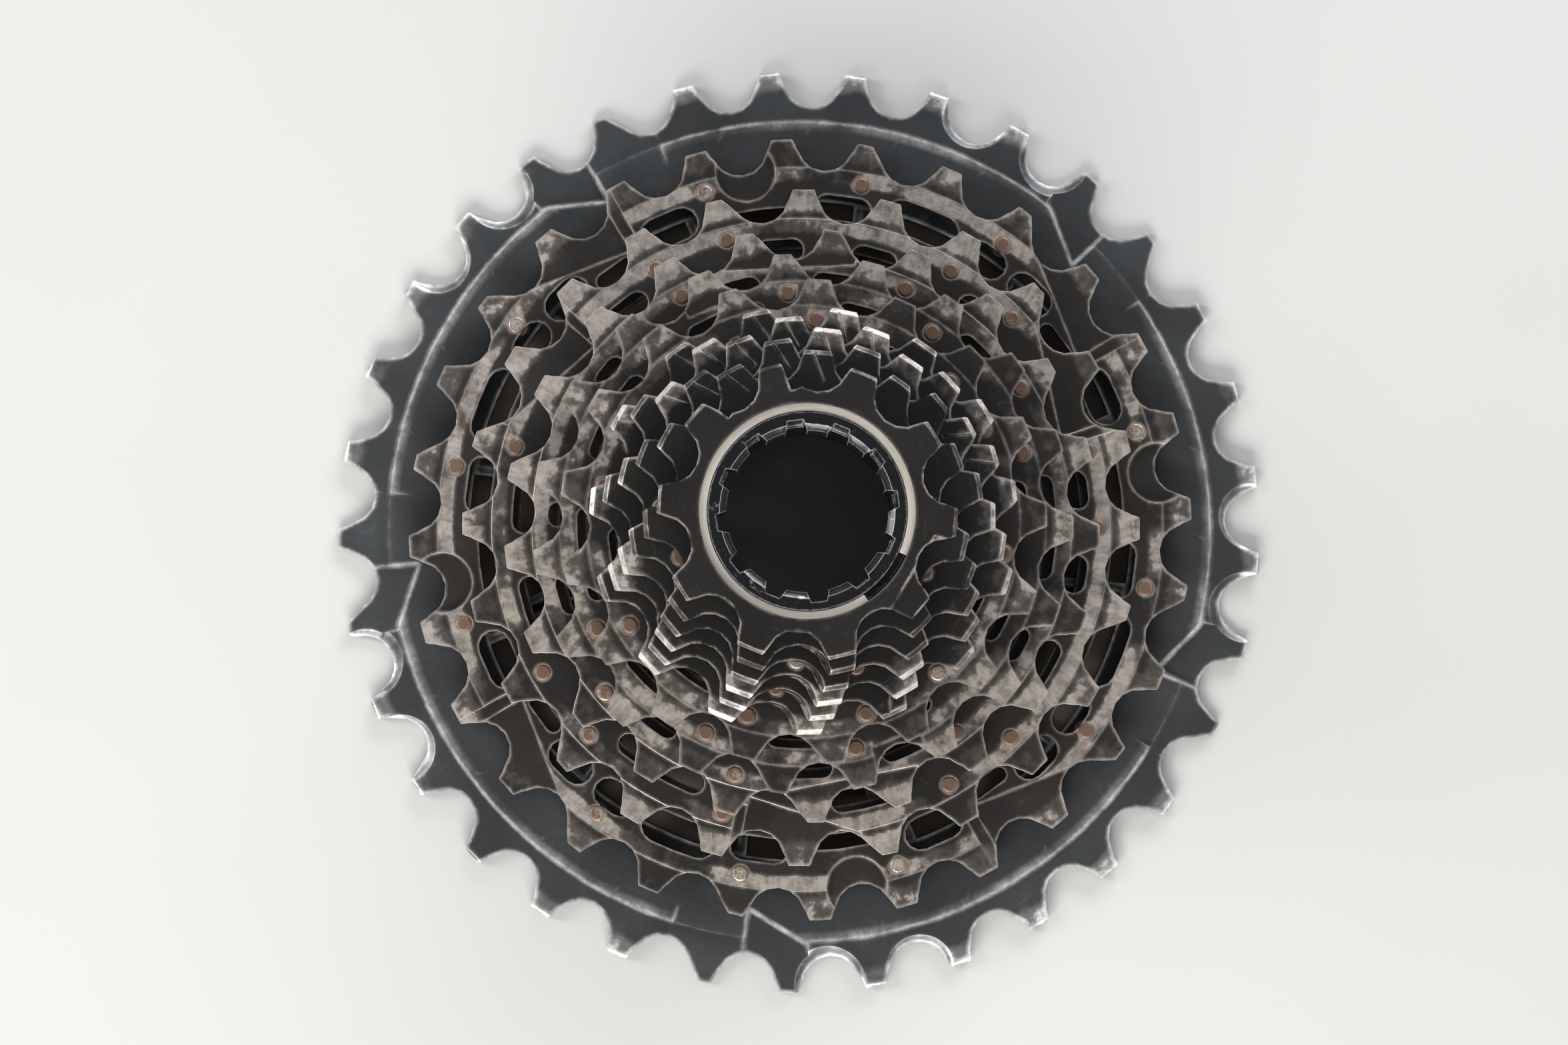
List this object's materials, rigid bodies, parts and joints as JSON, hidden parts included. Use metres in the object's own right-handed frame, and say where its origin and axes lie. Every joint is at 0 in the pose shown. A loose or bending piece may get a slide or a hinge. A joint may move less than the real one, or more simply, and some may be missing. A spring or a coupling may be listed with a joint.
{
  "type": "cassette sprocket",
  "caption": "Stepped rear bicycle cassette: riveted steel sprockets on an aluminium splined carrier, with a rotating threaded lock tube held by a snap ring.",
  "frame": {"origin": "on the sprocket axis, in the inboard face of the largest sprocket, which rests on the table", "axes": "+Z along the axis, outboard from the largest sprocket to the smallest; +X and +Y across it"},
  "size_m": [0.1359, 0.1359, 0.0418],
  "materials": {
    "anodised_aluminium": "satin",
    "coated_steel": "satin",
    "black_steel": "semi-gloss",
    "rivet_steel": "satin",
    "tube_steel": "gloss",
    "spring_steel": "satin"
  },
  "bodies": {
    "sprocket_stack": {"carrier_33t": "anodised_aluminium", "sprocket_28t": "coated_steel", "sprocket_24t": "coated_steel", "sprocket_21t": "coated_steel", "sprocket_19t": "coated_steel", "sprocket_17t": "coated_steel", "sprocket_15t": "black_steel", "sprocket_14t": "black_steel", "sprocket_13t": "black_steel", "cluster_10_11_12t": "black_steel", "rivets_28_to_33": "rivet_steel", "rivets_24_to_28": "rivet_steel", "rivets_21_to_24": "rivet_steel", "rivets_19_to_21": "rivet_steel", "rivets_17_to_19": "rivet_steel", "rivets_15_to_17": "rivet_steel", "rivets_14_to_15": "rivet_steel", "rivets_13_to_14": "rivet_steel", "rivets_12_to_13": "rivet_steel"},
    "lock_tube": {"lock_tube": "tube_steel"},
    "snap_ring": {"snap_ring": "spring_steel"}
  },
  "joints": [
    {"name": "lock_tube_turn", "type": "hinge", "parent": "sprocket_stack", "child": "lock_tube", "pos_m": [0, 0, 0.03], "axis": [0, 0, 1], "continuous": true},
    {"name": "snap_ring_turn", "type": "hinge", "parent": "sprocket_stack", "child": "snap_ring", "pos_m": [0, 0, 0.0407], "axis": [0, 0, 1], "continuous": true}
  ]
}
